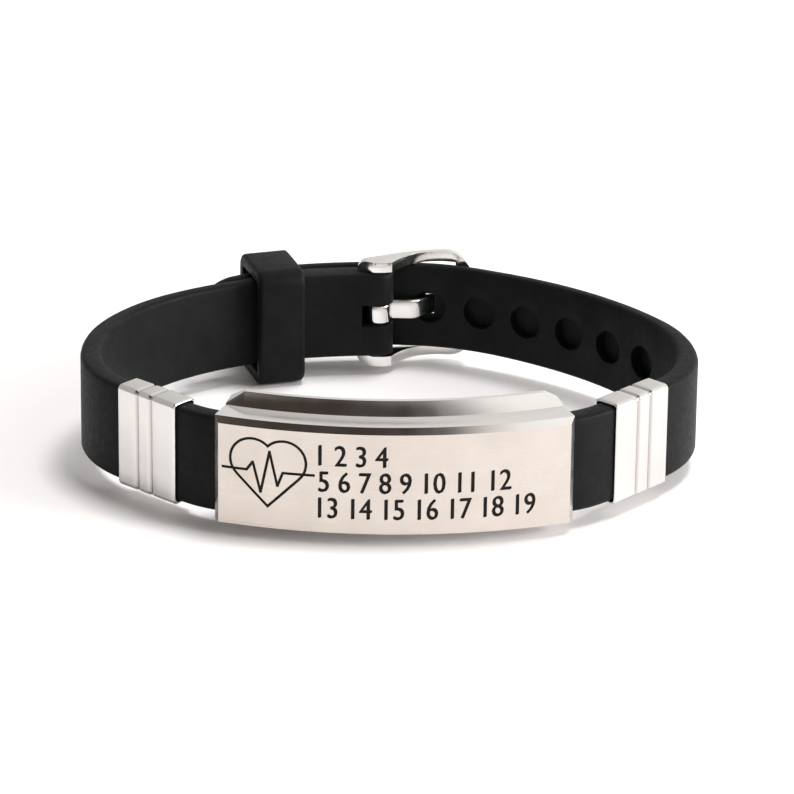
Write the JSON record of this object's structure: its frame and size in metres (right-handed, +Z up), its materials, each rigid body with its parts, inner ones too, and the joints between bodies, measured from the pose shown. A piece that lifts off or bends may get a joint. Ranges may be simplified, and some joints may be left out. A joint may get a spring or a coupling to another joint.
{
  "type": "medical alert bracelet",
  "caption": "Closed wrist bracelet with a curved steel identity plate, rubber straps, steel slides and a pin buckle, standing on its edge.",
  "frame": {"origin": "on the surface the bracelet rests on, under the middle of its bounding box", "axes": "+X to the viewer's right along the plate, +Y from the plate at the front to the buckle at the back, +Z up"},
  "size_m": [0.07, 0.0574, 0.0152],
  "materials": {
    "plate_steel": "satin face with a fine grain along its length",
    "polished_steel": "polished stainless steel",
    "strap_rubber": "matte black silicone rubber"
  },
  "bodies": {
    "root": {"id_plate": "plate_steel", "strap_buckle_side": "strap_rubber", "strap_hole_side": "strap_rubber", "slide_left": "polished_steel", "slide_right": "polished_steel", "keeper": "strap_rubber", "buckle_frame": "polished_steel", "buckle_bar": "polished_steel", "buckle_tongue": "polished_steel", "plate_pin_left": "polished_steel", "plate_pin_right": "polished_steel"}
  },
  "joints": []
}
